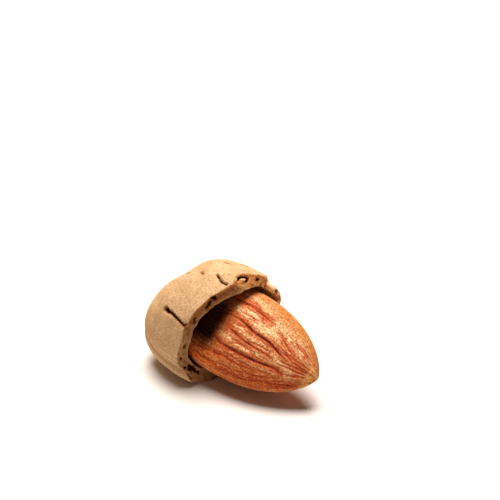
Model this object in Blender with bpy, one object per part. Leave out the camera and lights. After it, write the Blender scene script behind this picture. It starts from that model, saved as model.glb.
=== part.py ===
"""An almond cracked open: the blunt base end of its shell, with the kernel lying loose in it.

Lengths are in metres and +Z is up. The nut has a frame of its own: x runs from the blunt base to the
kernel's point, y crosses the nut from the keel (-y) to the plain seam (+y), and z is its thickness.
An angle round the nut is 0 at the plain seam, 90 on the face that shows, 180 at the keel and 270 below.
"""

import math

import bpy
import bmesh
import numpy as np
from mathutils import Euler, Matrix, Vector, noise

MM = 0.001

# Shell, from its widest station at x = 0
SHELL_BASE_REACH = 11.2 * MM
SHELL_APEX_REACH = 21.0 * MM
SHELL_HALF_WIDTH = 9.0 * MM
SHELL_HALF_THICKNESS = 7.0 * MM
SHELL_BASE_ROUNDNESS = 2.8
BASE_SLANT = 2.4 * MM
CAVITY_BASE_REACH = 8.8 * MM
CAVITY_HALF_WIDTH = 7.4 * MM
CAVITY_HALF_THICKNESS = 5.2 * MM
CAVITY_ROUNDNESS = 2.4
# The wall is thicker under the kernel's keel side, near the break
LEDGE_HEIGHT = 0.3 * MM
LEDGE_ANGLE = math.radians(214)
LEDGE_SPREAD = math.radians(18)
LEDGE_START = -5.0 * MM
LEDGE_FULL = -2.0 * MM
KEEL_HEIGHT = 0.75 * MM
KEEL_SPREAD = math.radians(6.5)
SEAM_HEIGHT = 0.25 * MM
SEAM_SPREAD = math.radians(8)
SURFACE_WAVE = 0.16 * MM
WAVE_SIZE = 5.0 * MM

# Broken edge: angle round the nut in degrees, how far along x the outside reaches there in mm, and how
# much further the inner lip reaches
BREAK_LINE = (
    (0, 2.2, 0.6),
    (15, 1.95, 0.6),
    (20, 1.6, 0.7),
    (26, 0.95, 1.15),
    (31, 0.35, 1.6),
    (38, -0.15, 1.95),
    (43, 0.0, 1.65),
    (52, 0.3, 0.95),
    (57, 0.1, 0.8),
    (68, -0.7, 0.6),
    (78, -1.4, 0.6),
    (91, -2.2, 0.6),
    (102, -2.5, 0.6),
    (112, -2.7, 0.6),
    (128, -2.75, 0.65),
    (156, -2.75, 0.65),
    (170, -1.9, 0.5),
    (180, -0.8, 0.0),
    (190, -0.2, -0.5),
    (200, 0.4, -0.9),
    (222, 1.8, -0.9),
    (250, 3.4, 0.2),
    (285, 4.2, 0.6),
    (320, 4.2, 0.6),
    (357, 4.0, 0.6),
    (360, 2.2, 0.6),
)
BREAK_ROUGHNESS = 0.22 * MM
BREAK_GRAIN = 1.6 * MM
FLAKE_DEPTH = 0.7 * MM
FLAKE_START = 2.1 * MM
FLAKE_EDGE = 0.3 * MM
FLAKE_SPREAD = math.radians(24)

# Pits of the outside: station mm, angle, length, width, width at the other end, bend, turn, depth
PITS = (
    (-4.8, 107.8, 3.9, 0.8, 0.36, 0.0, -14, 0.8),
    (-2.4, 111.0, 0.7, 0.6, 0.6, 0.0, 0, 0.6),
    (-5.0, 54.7, 0.7, 0.5, 0.4, 0.0, -30, 0.45),
    (-7.7, 56.2, 0.5, 0.4, 0.4, 0.0, 0, 0.35),
    (-2.2, 52.0, 0.9, 0.3, 0.4, 0.0, -25, 0.4),
    (-1.0, 55.0, 1.3, 0.4, 0.5, -0.1, -8, 0.5),
    (-3.2, 24.0, 0.9, 0.4, 0.3, 0.0, 5, 0.4),
    (-7.2, 330.0, 2.4, 0.6, 0.3, 0.2, -10, 0.6),
    (-2.6, 318.0, 0.9, 0.6, 0.5, 0.0, 0, 0.5),
    (1.7, 296.0, 3.2, 0.6, 0.35, -0.2, 6, 0.6),
    (-4.9, 283.0, 0.8, 0.6, 0.6, 0.0, 0, 0.5),
    (-8.1, 300.0, 0.6, 0.5, 0.4, 0.0, 0, 0.4),
    (-6.4, 262.0, 2.0, 0.5, 0.3, 0.1, -14, 0.5),
    (-3.0, 345.0, 0.6, 0.5, 0.5, 0.0, 0, 0.4),
    (-7.4, 205.0, 1.3, 0.5, 0.3, 0.0, 4, 0.4),
    (-10.8, 200.0, 1.5, 1.7, 1.7, 0.0, 0, 0.35),
)
# Pores of the broken edge: angle, share of the way in, width mm
PORES = (
    (11, 0.85, 0.35),
    (16, 0.45, 0.45),
    (73, 0.35, 0.7),
    (80, 0.55, 0.75),
    (101, 0.6, 0.6),
    (134, 0.65, 0.6),
    (153, 0.35, 0.4),
    (166, 0.25, 0.45),
    (172, 0.62, 1.1),
    (185, 0.65, 0.5),
    (238, 0.5, 0.6),
    (268, 0.4, 0.5),
    (301, 0.5, 0.8),
    (335, 0.5, 0.6),
    (350, 0.45, 0.7),
)
PORE_DEPTH = 0.5 * MM
PORE_HEIGHT = 0.36
# The largest pore is a C-shaped groove round a plug of wood: angle, share of the way in, then its half
# width and half height, how it is turned and where the groove starts and ends
PLUG_PLACE = (math.radians(36), 0.36)
PLUG_HALF_SIZES = (0.78 * MM, 0.42 * MM)
PLUG_TURN = math.radians(-29)
PLUG_GROOVE_HALF_WIDTH = 0.22 * MM
PLUG_GROOVE_DEPTH = 0.45 * MM
PLUG_GROOVE_ENDS = (math.radians(-225), math.radians(10))
PLUG_GROOVE_STEPS = 16

# Kernel, from its widest station
KERNEL_TIP_REACH = 15.1 * MM
KERNEL_BASE_REACH = 9.2 * MM
KERNEL_HALF_WIDTH = 6.95 * MM
KERNEL_HALF_THICKNESS = 3.95 * MM
KERNEL_TIP_FULLNESS = (2.48, 0.71)
KERNEL_TIP_THINNING = (2.0, 0.80)
KERNEL_BASE_ROUNDNESS = 2.3
# The shown face drops away inside the shell
HOLLOW_DEPTH = 1.3 * MM
HOLLOW_ANGLE = math.radians(97)
HOLLOW_SPREAD = math.radians(40)
HOLLOW_START = 2.0 * MM
HOLLOW_FULL = -3.0 * MM
# Wrinkles of the skin: half width mm, depth mm, then (station mm, angle) along each
WRINKLES = (
    (0.65, 0.36, ((-3.5, 52), (-0.1, 53), (2.4, 53), (4.2, 55), (5.6, 57), (7.0, 60))),
    (0.4, 0.15, ((0.2, 45), (1.9, 47), (3.2, 49))),
    (0.75, 0.45, ((-4.0, 75), (0.0, 77), (2.3, 78), (4.4, 82), (7.3, 83), (9.5, 90), (10.6, 93))),
    (0.6, 0.26, ((6.8, 60), (7.8, 63), (8.8, 69), (9.8, 74), (11.2, 79), (12.2, 84))),
    (0.6, 0.28, ((-3.5, 87), (-0.2, 90), (2.3, 95), (4.7, 98), (7.0, 99), (8.4, 101))),
    (0.7, 0.42, ((-5.0, 105), (-1.6, 108), (0.4, 113), (3.5, 114), (6.6, 114), (8.6, 113), (10.6, 117))),
    (0.55, 0.24, ((-5.0, 134), (-1.9, 132), (0.7, 129), (3.4, 129), (6.4, 127), (9.0, 125))),
    (0.5, 0.24, ((-2.5, 146), (-0.1, 147), (1.5, 150), (4.9, 149), (6.5, 149), (8.6, 141), (10.5, 136))),
    (0.5, 0.2, ((9.4, 83), (10.1, 85), (11.4, 90), (12.8, 91), (13.9, 89))),
    (0.45, 0.2, ((4.5, 139), (5.9, 137), (7.4, 135), (8.9, 132), (10.8, 127))),
    (0.45, 0.18, ((-4.0, 163), (-2.0, 166), (2.0, 168), (5.0, 166), (8.0, 162), (11.0, 155))),
    (0.55, 0.22, ((-4.0, 205), (2.0, 208), (8.0, 207))),
    (0.65, 0.32, ((-6.0, 216), (-1.0, 219), (5.0, 215), (11.0, 213))),
    (0.5, 0.2, ((-3.0, 227), (2.0, 229), (6.0, 230))),
    (0.7, 0.38, ((-7.0, 238), (-1.0, 235), (6.0, 238), (12.0, 236))),
    (0.6, 0.28, ((-5.0, 250), (2.0, 254), (9.0, 253))),
    (0.7, 0.4, ((-7.0, 262), (0.0, 265), (7.0, 262), (13.0, 259))),
    (0.55, 0.24, ((-2.0, 273), (4.0, 277), (10.0, 276))),
    (0.7, 0.38, ((-7.0, 285), (-1.0, 288), (5.0, 286), (11.0, 284))),
    (0.55, 0.24, ((-4.0, 297), (2.0, 301), (7.0, 300))),
    (0.65, 0.32, ((-6.0, 309), (0.0, 311), (6.0, 308), (12.0, 305))),
    (0.5, 0.2, ((-3.0, 321), (3.0, 322), (9.0, 318))),
)
WRINKLE_TAPER = 0.4

# How the nut lies
SHELL_LEAN = math.radians(41.5)
SHELL_DROOP = math.radians(4)
KERNEL_LEAN = math.radians(39.5)
KERNEL_DROOP = math.radians(8.5)
KERNEL_TURN = math.radians(-0.7)
KERNEL_SEAT = Vector((1.3 * MM, 0.0, -0.4 * MM))
REST_FLAT_DEPTH = 0.7 * MM

# Mesh fineness
SHELL_COLUMNS = 80
SEAM_CROWDING = 0.25
SHELL_OUTER_ROWS = 17
SHELL_BREAK_ROWS = 3
SHELL_INNER_ROWS = 9
KERNEL_COLUMNS = 132
KERNEL_ROWS = 34
PIT_SIDES = 8
PIT_ROWS = 6
SHARP_EDGE = math.radians(40)
SMALL_STEP = 0.03
GROUND_BLOCK = 60 * MM


def new_material(name, colour, roughness):
    """A plain material in the part's own colour."""
    material = bpy.data.materials.new(name)
    material.use_nodes = True
    shader = material.node_tree.nodes["Principled BSDF"]
    shader.inputs["Base Color"].default_value = (*colour, 1.0)
    shader.inputs["Roughness"].default_value = roughness
    shader.inputs["Metallic"].default_value = 0.0
    return material


def new_collection(name):
    collection = bpy.data.collections.new(name)
    bpy.context.scene.collection.children.link(collection)
    return collection


def shaped_sphere(name, columns, rows, place, collection):
    """A sphere whose rows and columns are put where place(row, angle) says."""
    bm = bmesh.new()
    bmesh.ops.create_uvsphere(bm, u_segments=columns, v_segments=rows, radius=1.0)
    for vertex in bm.verts:
        row = round(math.acos(max(-1.0, min(1.0, vertex.co.z))) / math.pi * rows)
        angle = math.atan2(vertex.co.y, vertex.co.x) % math.tau
        vertex.co = place(row, angle)
    if bm.calc_volume(signed=True) < 0.0:
        bmesh.ops.reverse_faces(bm, faces=bm.faces)
    mesh = bpy.data.meshes.new(name)
    bm.to_mesh(mesh)
    bm.free()
    mesh.shade_smooth()
    mesh.set_sharp_from_angle(angle=SHARP_EDGE)
    obj = bpy.data.objects.new(name, mesh)
    collection.objects.link(obj)
    return obj


def around(angle, centre, spread):
    """A smooth bump of height 1 at the centre angle, of about that spread each side."""
    gap = (angle - centre + math.pi) % math.tau - math.pi
    return math.exp(-((gap / spread) ** 2))


def superellipse(share, roundness):
    """Half width at a share of the reach, as a share of the widest."""
    return max(0.0, 1.0 - abs(share) ** roundness) ** (1.0 / roundness)


def base_slant(x, y, reach):
    """How far the base leans back on the keel side at a station."""
    return BASE_SLANT * y / SHELL_HALF_WIDTH * (x / reach) ** 2 if x < 0.0 else 0.0


def flake(x, angle):
    """How deep the outer layer has come away beside the plain seam, next to the break."""
    side = (angle - math.tau) % math.tau - math.tau
    if x < FLAKE_START or side < -FLAKE_SPREAD:
        return 0.0
    step = min(1.0, (x - FLAKE_START) / FLAKE_EDGE)
    return FLAKE_DEPTH * step * math.cos(side / FLAKE_SPREAD * math.pi / 2)


def shell_outside(x, angle):
    """The shell's outer surface at a station and an angle."""
    if x < 0.0:
        size = superellipse(x / SHELL_BASE_REACH, SHELL_BASE_ROUNDNESS)
    else:
        size = superellipse(x / SHELL_APEX_REACH, 2.0)
    ridge = KEEL_HEIGHT * around(angle, math.pi, KEEL_SPREAD)
    ridge += SEAM_HEIGHT * around(angle, 0.0, SEAM_SPREAD)
    y = SHELL_HALF_WIDTH * size * math.cos(angle)
    z = SHELL_HALF_THICKNESS * size * math.sin(angle)
    wave = SURFACE_WAVE * noise.noise(Vector((x, y, z)) / WAVE_SIZE)
    reach = math.hypot(y, z)
    if reach == 0.0:
        return Vector((x, 0.0, 0.0))
    grown = 1.0 + (ridge * size**0.5 + wave * size - flake(x, angle)) / reach
    return Vector((x + base_slant(x, y, SHELL_BASE_REACH), y * grown, z * grown))


def shell_inside(x, angle):
    """The wall of the cavity at a station and an angle."""
    if x < 0.0:
        size = superellipse(x / CAVITY_BASE_REACH, CAVITY_ROUNDNESS)
    else:
        size = superellipse(x / SHELL_APEX_REACH, 2.0)
    y = CAVITY_HALF_WIDTH * size * math.cos(angle)
    z = CAVITY_HALF_THICKNESS * size * math.sin(angle)
    point = Vector((x + base_slant(x, y, CAVITY_BASE_REACH), y, z))
    rise = min(1.0, max(0.0, (x - LEDGE_START) / (LEDGE_FULL - LEDGE_START)))
    ledge = LEDGE_HEIGHT * rise * around(angle, LEDGE_ANGLE, LEDGE_SPREAD)
    return point - Vector((0.0, y, z)).normalized() * ledge


def break_reach(angle):
    """How far along x the shell's outside and its inner lip reach at an angle."""
    degrees, reaches, bevels = zip(*BREAK_LINE)
    chips = noise.noise(Vector((math.cos(angle), math.sin(angle), 0.0)) * SHELL_HALF_WIDTH / BREAK_GRAIN)
    rim = float(np.interp(math.degrees(angle), degrees, reaches)) * MM + BREAK_ROUGHNESS * chips
    return rim, rim + float(np.interp(math.degrees(angle), degrees, bevels)) * MM


def station(share, base_reach, rim):
    """A station from the base to the rim, with the rows closer together at the round base."""
    turn = math.acos(max(-1.0, -rim / base_reach)) if rim < 0.0 else math.pi / 2
    x = -base_reach * math.cos(share * turn)
    return x if rim < 0.0 else x + rim * share**2


def shell_point(row, turn):
    """A shell vertex. The rows run up the outside, across the break and back down the inside.

    The columns crowd towards the seam and the keel, where the shape is sharpest.
    """
    angle = (turn - SEAM_CROWDING * math.sin(2.0 * turn)) % math.tau
    rim, inner_rim = break_reach(angle)
    if row <= SHELL_OUTER_ROWS:
        return shell_outside(station(row / SHELL_OUTER_ROWS, SHELL_BASE_REACH, rim), angle)
    if row >= SHELL_OUTER_ROWS + SHELL_BREAK_ROWS:
        left = (SHELL_OUTER_ROWS + SHELL_BREAK_ROWS + SHELL_INNER_ROWS - row) / SHELL_INNER_ROWS
        return shell_inside(station(left, CAVITY_BASE_REACH, inner_rim), angle)
    across = (row - SHELL_OUTER_ROWS) / SHELL_BREAK_ROWS
    point = shell_outside(rim, angle).lerp(shell_inside(inner_rim, angle), across)
    point.x += BREAK_ROUGHNESS * noise.noise(point * (2.0 / BREAK_GRAIN))
    return point


def kernel_point(row, angle):
    """A kernel vertex. The rows run from the point to the blunt end."""
    turn = math.pi * row / KERNEL_ROWS
    x = KERNEL_TIP_REACH * math.cos(turn) if turn < math.pi / 2 else KERNEL_BASE_REACH * math.cos(turn)
    if x > 0.0:
        share = x / KERNEL_TIP_REACH
        width = (1.0 - share ** KERNEL_TIP_FULLNESS[0]) ** KERNEL_TIP_FULLNESS[1]
        thickness = (1.0 - share ** KERNEL_TIP_THINNING[0]) ** KERNEL_TIP_THINNING[1]
    else:
        width = superellipse(x / KERNEL_BASE_REACH, KERNEL_BASE_ROUNDNESS)
        thickness = width
    y = KERNEL_HALF_WIDTH * width * math.cos(angle)
    z = KERNEL_HALF_THICKNESS * thickness * math.sin(angle)
    inward = -Vector((0.0, y, z)).normalized()
    inside = min(1.0, max(0.0, (HOLLOW_START - x) / (HOLLOW_START - HOLLOW_FULL)))
    inside *= inside * (3.0 - 2.0 * inside) * thickness
    z -= HOLLOW_DEPTH * inside * around(angle, HOLLOW_ANGLE, HOLLOW_SPREAD)
    return Vector((x, y, z)) + inward * wrinkle_depth(x, angle, width)


def wrinkle_depth(x, angle, width):
    """How deep the lengthways wrinkles of the skin sink the kernel at a station and an angle."""
    scale = width * math.hypot(KERNEL_HALF_WIDTH * math.sin(angle), KERNEL_HALF_THICKNESS * math.cos(angle))
    deepest = 0.0
    for half_width, depth, places in WRINKLES:
        stations, angles = zip(*places)
        along = (x / MM - stations[0]) / (stations[-1] - stations[0])
        if not 0.0 < along < 1.0:
            continue
        gap = abs(angle - math.radians(np.interp(x / MM, stations, angles))) * scale
        near = max(0.0, 1.0 - gap / (half_width * MM))
        across = near * near * (3.0 - 2.0 * near)
        deepest = max(deepest, depth * across * math.sin(math.pi * along) ** WRINKLE_TAPER)
    return deepest * MM


def build_kernel(collection):
    kernel = shaped_sphere("kernel", KERNEL_COLUMNS, KERNEL_ROWS, kernel_point, collection)
    kernel.rotation_euler = (
        Matrix.Rotation(KERNEL_TURN, 3, "Z")
        @ Matrix.Rotation(KERNEL_DROOP, 3, "Y")
        @ Matrix.Rotation(KERNEL_LEAN, 3, "X")
    ).to_euler()
    kernel.location = KERNEL_SEAT
    kernel.data.materials.append(new_material("kernel_skin", (0.52, 0.22, 0.08), 0.6))
    return kernel


def build_shell(collection):
    rows = SHELL_OUTER_ROWS + SHELL_BREAK_ROWS + SHELL_INNER_ROWS
    shell = shaped_sphere("shell", SHELL_COLUMNS, rows, shell_point, collection)
    shell.rotation_euler = Euler((SHELL_LEAN, SHELL_DROOP, 0.0))
    shell.data.materials.append(new_material("shell_wood", (0.62, 0.42, 0.26), 0.8))
    return shell


def corners(objects):
    """Lowest and highest corner of these objects' own meshes, in the world."""
    bpy.context.view_layer.update()
    points = np.array([obj.matrix_world @ v.co for obj in objects for v in obj.data.vertices])
    return points.min(axis=0), points.max(axis=0)


def new_cutter(name, bm, cutters):
    """A cutting body, drawn as wire and left out of renders."""
    mesh = bpy.data.meshes.new(name)
    bm.to_mesh(mesh)
    bm.free()
    cutter = bpy.data.objects.new(name, mesh)
    cutter.display_type = "WIRE"
    cutter.hide_render = True
    cutters.objects.link(cutter)
    return cutter


def cut_away(target, name, cutter):
    cut = target.modifiers.new(name, "BOOLEAN")
    cut.operation = "DIFFERENCE"
    cut.solver = "EXACT"
    cut.object = cutter


def add_hollow(bm, frame, length, widths, bend, depth):
    """A closed long hollow in the frame's x direction, wider at one end and bent sideways."""
    made = bmesh.ops.create_uvsphere(bm, u_segments=PIT_SIDES, v_segments=PIT_ROWS, radius=1.0)
    for vertex in made["verts"]:
        side, up, along = vertex.co
        share = (1.0 + along) / 2.0
        wide = (widths[0] + (widths[1] - widths[0]) * share) / 2.0
        arc = bend * (1.0 - along**2)
        vertex.co = frame @ Vector((along * length / 2.0, side * wide + arc, up * depth))


def surface_frame(x, angle, turn):
    """A frame on the outer surface: its z points out, its x runs lengthways and is then turned."""
    centre = shell_outside(x, angle)
    along = (shell_outside(x + SMALL_STEP * MM, angle) - centre).normalized()
    outward = along.cross(shell_outside(x, angle + SMALL_STEP) - centre).normalized()
    if outward.dot(Vector((0.0, centre.y, centre.z))) < 0.0:
        outward.negate()
    sideways = outward.cross(along)
    axes = Matrix((along, sideways, outward)).transposed() @ Matrix.Rotation(turn, 3, "Z")
    return Matrix.Translation(centre) @ axes.to_4x4()


def cut_pits(shell, cutters):
    """The pits and slits of the outside, then the pores that the break has opened."""
    bm = bmesh.new()
    for x, angle, length, first, last, bend, turn, depth in PITS:
        frame = surface_frame(x * MM, math.radians(angle), math.radians(turn))
        add_hollow(bm, frame, length * MM, (first * MM, last * MM), bend * MM, depth * MM)
    cut_away(shell, "pits", new_cutter("pit_cutter", bm, cutters))
    bm = bmesh.new()
    for degrees, share, width in PORES:
        frame = break_frame(math.radians(degrees), share)[0] @ Matrix.Rotation(math.radians(degrees), 4, "X")
        add_hollow(bm, frame, 2.0 * PORE_DEPTH, (width * MM, width * MM), 0.0, PORE_HEIGHT * width * MM)
    add_plug_groove(bm)
    cut_away(shell, "pores", new_cutter("pore_cutter", bm, cutters))


def break_frame(angle, share):
    """A point of the broken edge, as a translation, and its axes: round the nut, inwards and out of it."""
    rim, inner_rim = break_reach(angle)
    outer, inner = shell_outside(rim, angle), shell_inside(inner_rim, angle)
    inwards = (inner - outer).normalized()
    out = Vector((0.0, -outer.z, outer.y)).cross(inwards).normalized()
    if out.x < 0.0:
        out.negate()
    axes = Matrix((inwards.cross(out), inwards, out)).transposed()
    return Matrix.Translation(outer.lerp(inner, share)), axes.to_4x4()


def add_plug_groove(bm):
    """A closed tube along the C-shaped groove round the plug."""
    place, axes = break_frame(*PLUG_PLACE)
    axes = axes @ Matrix.Rotation(PLUG_TURN, 4, "Z")
    first, last = PLUG_GROOVE_ENDS
    wide, high = PLUG_HALF_SIZES
    made = bmesh.ops.create_uvsphere(bm, u_segments=PIT_SIDES, v_segments=PLUG_GROOVE_STEPS, radius=1.0)
    for vertex in made["verts"]:
        share = math.acos(max(-1.0, min(1.0, vertex.co.z))) / math.pi
        turn = first + (last - first) * share
        ring = Vector((math.cos(turn) * wide, math.sin(turn) * high, 0.0))
        side = vertex.co.xy.normalized() if 0.0 < share < 1.0 else Vector((0.0, 0.0))
        across = ring.normalized() * side.x * PLUG_GROOVE_HALF_WIDTH
        vertex.co = place @ axes @ (ring + across + Vector((0.0, 0.0, side.y * PLUG_GROOVE_DEPTH)))


def cut_rest_flat(shell, cutters):
    """Takes off what is below the ground, which leaves the small flat that the nut rests on."""
    bm = bmesh.new()
    bmesh.ops.create_cube(bm, size=GROUND_BLOCK)
    ground = new_cutter("ground_cutter", bm, cutters)
    ground.location.z = -GROUND_BLOCK / 2
    cut_away(shell, "rest_flat", ground)


def build():
    for obj in list(bpy.data.objects):
        bpy.data.objects.remove(obj)
    almond = new_collection("almond")
    cutters = new_collection("cutters")
    nut = bpy.data.objects.new("nut", None)
    almond.objects.link(nut)
    shell = build_shell(almond)
    kernel = build_kernel(almond)
    for piece in (shell, kernel):
        piece.parent = nut
    low, high = corners([shell, kernel])
    shell_low, _ = corners([shell])
    nut.location = (-(low[0] + high[0]) / 2, -(low[1] + high[1]) / 2, -shell_low[2] - REST_FLAT_DEPTH)
    cut_pits(shell, cutters)
    for cutter in cutters.objects:
        cutter.parent = nut
        cutter.rotation_euler = shell.rotation_euler
    cut_rest_flat(shell, cutters)


build()
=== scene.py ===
import math
import random

import bmesh
import bpy
from mathutils import Euler, Matrix, Vector, noise
from mathutils.bvhtree import BVHTree


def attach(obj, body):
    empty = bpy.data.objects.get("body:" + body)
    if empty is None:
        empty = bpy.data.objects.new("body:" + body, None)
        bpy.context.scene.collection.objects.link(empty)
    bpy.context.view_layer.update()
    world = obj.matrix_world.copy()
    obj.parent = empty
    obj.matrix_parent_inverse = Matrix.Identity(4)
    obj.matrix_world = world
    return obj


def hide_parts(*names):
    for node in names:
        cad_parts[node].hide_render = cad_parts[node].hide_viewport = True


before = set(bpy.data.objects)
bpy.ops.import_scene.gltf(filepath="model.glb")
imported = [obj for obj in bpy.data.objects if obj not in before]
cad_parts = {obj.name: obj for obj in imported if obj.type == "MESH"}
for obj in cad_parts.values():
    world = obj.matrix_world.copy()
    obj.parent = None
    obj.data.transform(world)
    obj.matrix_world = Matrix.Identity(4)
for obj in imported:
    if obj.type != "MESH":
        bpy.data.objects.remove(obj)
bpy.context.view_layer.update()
mm = 0.001
print("frame loaded:", ", ".join(sorted(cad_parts)))

# The nut's own frame: x from the blunt base to the kernel's point, y from the keel to the plain seam,
# z through its thickness. Angles go round x: 0 plain seam, 90 the face that shows, 180 keel, 270 below.
lie = {
    "shellLean": 41.5,
    "shellDroop": 4.0,
    "kernelLean": 39.5,
    "kernelDroop": 8.5,
    "kernelTurn": -0.7,
    "kernelSeat": (1.3, 0.0, -0.4),
    "restFlatDepth": 0.7,
}


# ---- helpers for meshes
def around(angle, centre, spread):
    gap = (angle - centre + math.pi) % math.tau - math.pi
    return math.exp(-((gap / spread) ** 2))


def superellipse(share, roundness):
    return max(0.0, 1.0 - abs(share) ** roundness) ** (1.0 / roundness)


def between(value, low, high):
    share = min(1.0, max(0.0, (value - low) / (high - low)))
    return share * share * (3.0 - 2.0 * share)


def ripple(point, size):
    return noise.noise(point / (size * mm))


def closedGrid(name, columns, rows, place):
    # rows run from one pole of the nut to the other; place(row, turn) gives a point and its marks
    points, marks = [], []
    for row in range(rows + 1):
        for column in range(1 if row in (0, rows) else columns):
            point, mark = place(row, math.tau * column / columns)
            points.append(point)
            marks.append(mark)
    first = lambda row: 1 + (row - 1) * columns
    faces = []
    for column in range(columns):
        nextOne = (column + 1) % columns
        faces.append((0, first(1) + nextOne, first(1) + column))
        faces.append((len(points) - 1, first(rows - 1) + column, first(rows - 1) + nextOne))
        for row in range(1, rows - 1):
            a, b = first(row), first(row + 1)
            faces.append((a + column, a + nextOne, b + nextOne, b + column))
    mesh = bpy.data.meshes.new(name)
    mesh.from_pydata(points, [], faces)
    for key in marks[0]:
        values = [mark[key] for mark in marks]
        if isinstance(values[0], tuple):
            attribute = mesh.attributes.new(key, "FLOAT_VECTOR", "POINT")
            attribute.data.foreach_set("vector", [part for value in values for part in value])
        else:
            attribute = mesh.attributes.new(key, "FLOAT", "POINT")
            attribute.data.foreach_set("value", values)
    bm = bmesh.new()
    bm.from_mesh(mesh)
    if bm.calc_volume(signed=True) < 0.0:
        bmesh.ops.reverse_faces(bm, faces=bm.faces)
    bm.to_mesh(mesh)
    bm.free()
    mesh.shade_smooth()
    piece = bpy.data.objects.new(name, mesh)
    bpy.context.scene.collection.objects.link(piece)
    return piece


def lineObject(name, lines):
    # lines: lists of (point, reach, depth), joined as edges that carry both values
    points, edges, reaches, depths = [], [], [], []
    for line in lines:
        for order, (point, reach, depth) in enumerate(line):
            if order:
                edges.append((len(points) - 1, len(points)))
            points.append(point)
            reaches.append(reach)
            depths.append(depth)
    mesh = bpy.data.meshes.new(name)
    mesh.from_pydata(points, edges, [])
    for key, values in (("reach", reaches), ("depth", depths)):
        mesh.attributes.new(key, "FLOAT", "POINT").data.foreach_set("value", values)
    lineHolder = bpy.data.objects.new(name, mesh)
    bpy.context.scene.collection.objects.link(lineHolder)
    return lineHolder


# ---- the tree that sinks pits, slits and wrinkles into a surface along lines
def addNode(tree, kind, values=None, **settings):
    made = tree.nodes.new(kind)
    for key, value in settings.items():
        setattr(made, key, value)
    for key, value in (values or {}).items():
        if isinstance(value, bpy.types.NodeSocket):
            tree.links.new(value, made.inputs[key])
        else:
            made.inputs[key].default_value = value
    return made


def calculate(tree, operation, *values, clamp=False):
    made = addNode(tree, "ShaderNodeMath", operation=operation, use_clamp=clamp)
    for order, value in enumerate(values):
        if isinstance(value, bpy.types.NodeSocket):
            tree.links.new(value, made.inputs[order])
        else:
            made.inputs[order].default_value = value
    return made.outputs[0]


def makeSinkTree():
    tree = bpy.data.node_groups.new("sinkAlongLines", "GeometryNodeTree")
    face = tree.interface
    face.new_socket("Geometry", in_out="INPUT", socket_type="NodeSocketGeometry")
    face.new_socket("Lines", in_out="INPUT", socket_type="NodeSocketObject")
    for label, value in (("Wall share", 1.0), ("Sharpness", 1.0), ("Halo", 0.3 * mm), ("Full depth", 0.4 * mm)):
        face.new_socket(label, in_out="INPUT", socket_type="NodeSocketFloat").default_value = value
    for label in ("Sunk name", "Halo name"):
        face.new_socket(label, in_out="INPUT", socket_type="NodeSocketString")
    face.new_socket("Material", in_out="INPUT", socket_type="NodeSocketMaterial")
    face.new_socket("Geometry", in_out="OUTPUT", socket_type="NodeSocketGeometry")
    given = addNode(tree, "NodeGroupInput").outputs
    lines = addNode(tree, "GeometryNodeObjectInfo", {"Object": given["Lines"]}).outputs["Geometry"]
    nearest = addNode(tree, "GeometryNodeProximity", {0: lines}, target_element="EDGES").outputs
    index = addNode(
        tree, "GeometryNodeSampleNearest", {"Geometry": lines, "Sample Position": nearest["Position"]}
    ).outputs[0]

    def carried(key):
        value = addNode(tree, "GeometryNodeInputNamedAttribute", {"Name": key}, data_type="FLOAT")
        return addNode(
            tree, "GeometryNodeSampleIndex", {"Geometry": lines, "Value": value.outputs[0], "Index": index}
        ).outputs[0]

    reach, depth = carried("reach"), carried("depth")
    share = calculate(tree, "DIVIDE", nearest["Distance"], reach)
    inward = calculate(tree, "SUBTRACT", 1.0, share, clamp=True)
    wall = calculate(tree, "DIVIDE", inward, given["Wall share"], clamp=True)
    sunk = calculate(tree, "POWER", wall, given["Sharpness"])
    mark = calculate(tree, "MULTIPLY", sunk, calculate(tree, "DIVIDE", depth, given["Full depth"], clamp=True))
    past = calculate(tree, "SUBTRACT", nearest["Distance"], reach)
    halo = calculate(tree, "SUBTRACT", 1.0, calculate(tree, "DIVIDE", past, given["Halo"]), clamp=True)
    marked = addNode(
        tree, "GeometryNodeStoreNamedAttribute",
        {"Geometry": given["Geometry"], "Name": given["Sunk name"], "Value": mark}, data_type="FLOAT",
    ).outputs[0]
    marked = addNode(
        tree, "GeometryNodeStoreNamedAttribute",
        {"Geometry": marked, "Name": given["Halo name"], "Value": halo}, data_type="FLOAT",
    ).outputs[0]
    drop = calculate(tree, "MULTIPLY", calculate(tree, "MULTIPLY", sunk, depth), -1.0)
    offset = addNode(
        tree, "ShaderNodeVectorMath", {0: addNode(tree, "GeometryNodeInputNormal").outputs[0], "Scale": drop},
        operation="SCALE",
    ).outputs[0]
    moved = addNode(tree, "GeometryNodeSetPosition", {"Geometry": marked, "Offset": offset}).outputs[0]
    whole = addNode(tree, "GeometryNodeRealizeInstances", {"Geometry": moved}).outputs[0]
    coated = addNode(
        tree, "GeometryNodeSetMaterial", {"Geometry": whole, "Material": given["Material"]}
    ).outputs[0]
    addNode(tree, "NodeGroupOutput", {"Geometry": coated})
    return tree


sinkTree = makeSinkTree()


def sink(piece, lines, material, sunkName, haloName, wallShare, sharpness, halo, fullDepth):
    modifier = piece.modifiers.new("sink", "NODES")
    modifier.node_group = sinkTree
    values = {
        "Lines": lines, "Material": material, "Sunk name": sunkName, "Halo name": haloName,
        "Wall share": wallShare, "Sharpness": sharpness, "Halo": halo * mm, "Full depth": fullDepth * mm,
    }
    for item in sinkTree.interface.items_tree:
        if item.in_out == "INPUT" and item.name in values:
            modifier[item.identifier] = values[item.name]
    bpy.context.view_layer.update()
    graph = bpy.context.evaluated_depsgraph_get()
    mesh = bpy.data.meshes.new_from_object(
        piece.evaluated_get(graph), preserve_all_data_layers=True, depsgraph=graph
    )
    piece.modifiers.clear()
    old, piece.data = piece.data, mesh
    bpy.data.meshes.remove(old)
    mesh.name = piece.name
    bpy.data.objects.remove(lines)


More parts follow.
